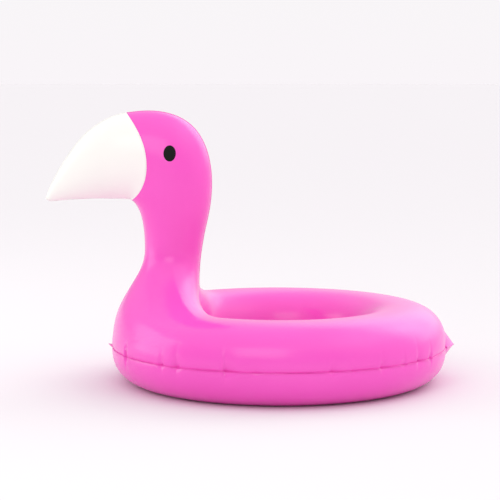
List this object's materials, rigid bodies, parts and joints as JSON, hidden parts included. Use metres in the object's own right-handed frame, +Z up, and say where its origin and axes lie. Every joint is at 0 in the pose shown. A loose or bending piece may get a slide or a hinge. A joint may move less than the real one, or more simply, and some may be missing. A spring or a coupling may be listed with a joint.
{
  "type": "inflatable pool float",
  "caption": "Ring-shaped inflatable pool float with a long-necked bird's head, for a child to sit or hold in; inflated, with push-in air valves.",
  "frame": {"origin": "under the middle of the whole float's box, on the surface that it stands on", "axes": "the bird faces -X, +Y is the bird's right side, +Z is up; the ring's axis is vertical and 51.1 mm towards +X from the origin"},
  "size_m": [0.7358, 0.604, 0.4861],
  "materials": {
    "pink_vinyl": "soft gloss",
    "white_vinyl": "soft gloss",
    "black_vinyl": "soft gloss",
    "clear_vinyl": "clear, soft gloss"
  },
  "bodies": {
    "float": {"ring_upper_panel": "pink_vinyl", "ring_lower_panel": "pink_vinyl", "neck_left_panel": "pink_vinyl", "neck_right_panel": "pink_vinyl", "beak_left_panel": "white_vinyl", "beak_right_panel": "white_vinyl", "eye_left": "black_vinyl", "eye_right": "black_vinyl", "tail_upper_panel": "pink_vinyl", "tail_lower_panel": "pink_vinyl", "ring_valve_disc": "clear_vinyl", "ring_valve_socket": "clear_vinyl", "neck_valve_disc": "clear_vinyl", "neck_valve_socket": "clear_vinyl"},
    "ring_stem": {"ring_valve_stem": "clear_vinyl"},
    "ring_cap": {"ring_valve_cap": "clear_vinyl"},
    "ring_flap": {"ring_valve_flap": "clear_vinyl"},
    "neck_stem": {"neck_valve_stem": "clear_vinyl"},
    "neck_cap": {"neck_valve_cap": "clear_vinyl"},
    "neck_flap": {"neck_valve_flap": "clear_vinyl"}
  },
  "joints": [
    {"name": "ring_stem_slide", "type": "slide", "parent": "float", "child": "ring_stem", "axis": [0.2674, 0.7346, 0.6237], "range_m": [0, 0.0135]},
    {"name": "ring_cap_hinge", "type": "hinge", "parent": "ring_stem", "child": "ring_cap", "pos_m": [0.14151, 0.27457, 0.11606], "axis": [-0.213, -0.5862, 0.7817], "range_deg": [0, 160]},
    {"name": "ring_flap_hinge", "type": "hinge", "parent": "ring_stem", "child": "ring_flap", "pos_m": [0.13881, 0.25779, 0.10274], "axis": [0.213, 0.5862, -0.7817], "range_deg": [0, 35], "stiffness_Nm_per_rad": 0.0002},
    {"name": "neck_stem_slide", "type": "slide", "parent": "float", "child": "neck_stem", "axis": [-0.0064, 0.9981, -0.0607], "range_m": [0, 0.0135]},
    {"name": "neck_cap_hinge", "type": "hinge", "parent": "neck_stem", "child": "neck_cap", "pos_m": [-0.13688, 0.05539, 0.26676], "axis": [1, 0.0064, 0], "range_deg": [0, 160]},
    {"name": "neck_flap_hinge", "type": "hinge", "parent": "neck_stem", "child": "neck_flap", "pos_m": [-0.13674, 0.03388, 0.26486], "axis": [-1, -0.0064, 0], "range_deg": [0, 35], "stiffness_Nm_per_rad": 0.0002}
  ]
}
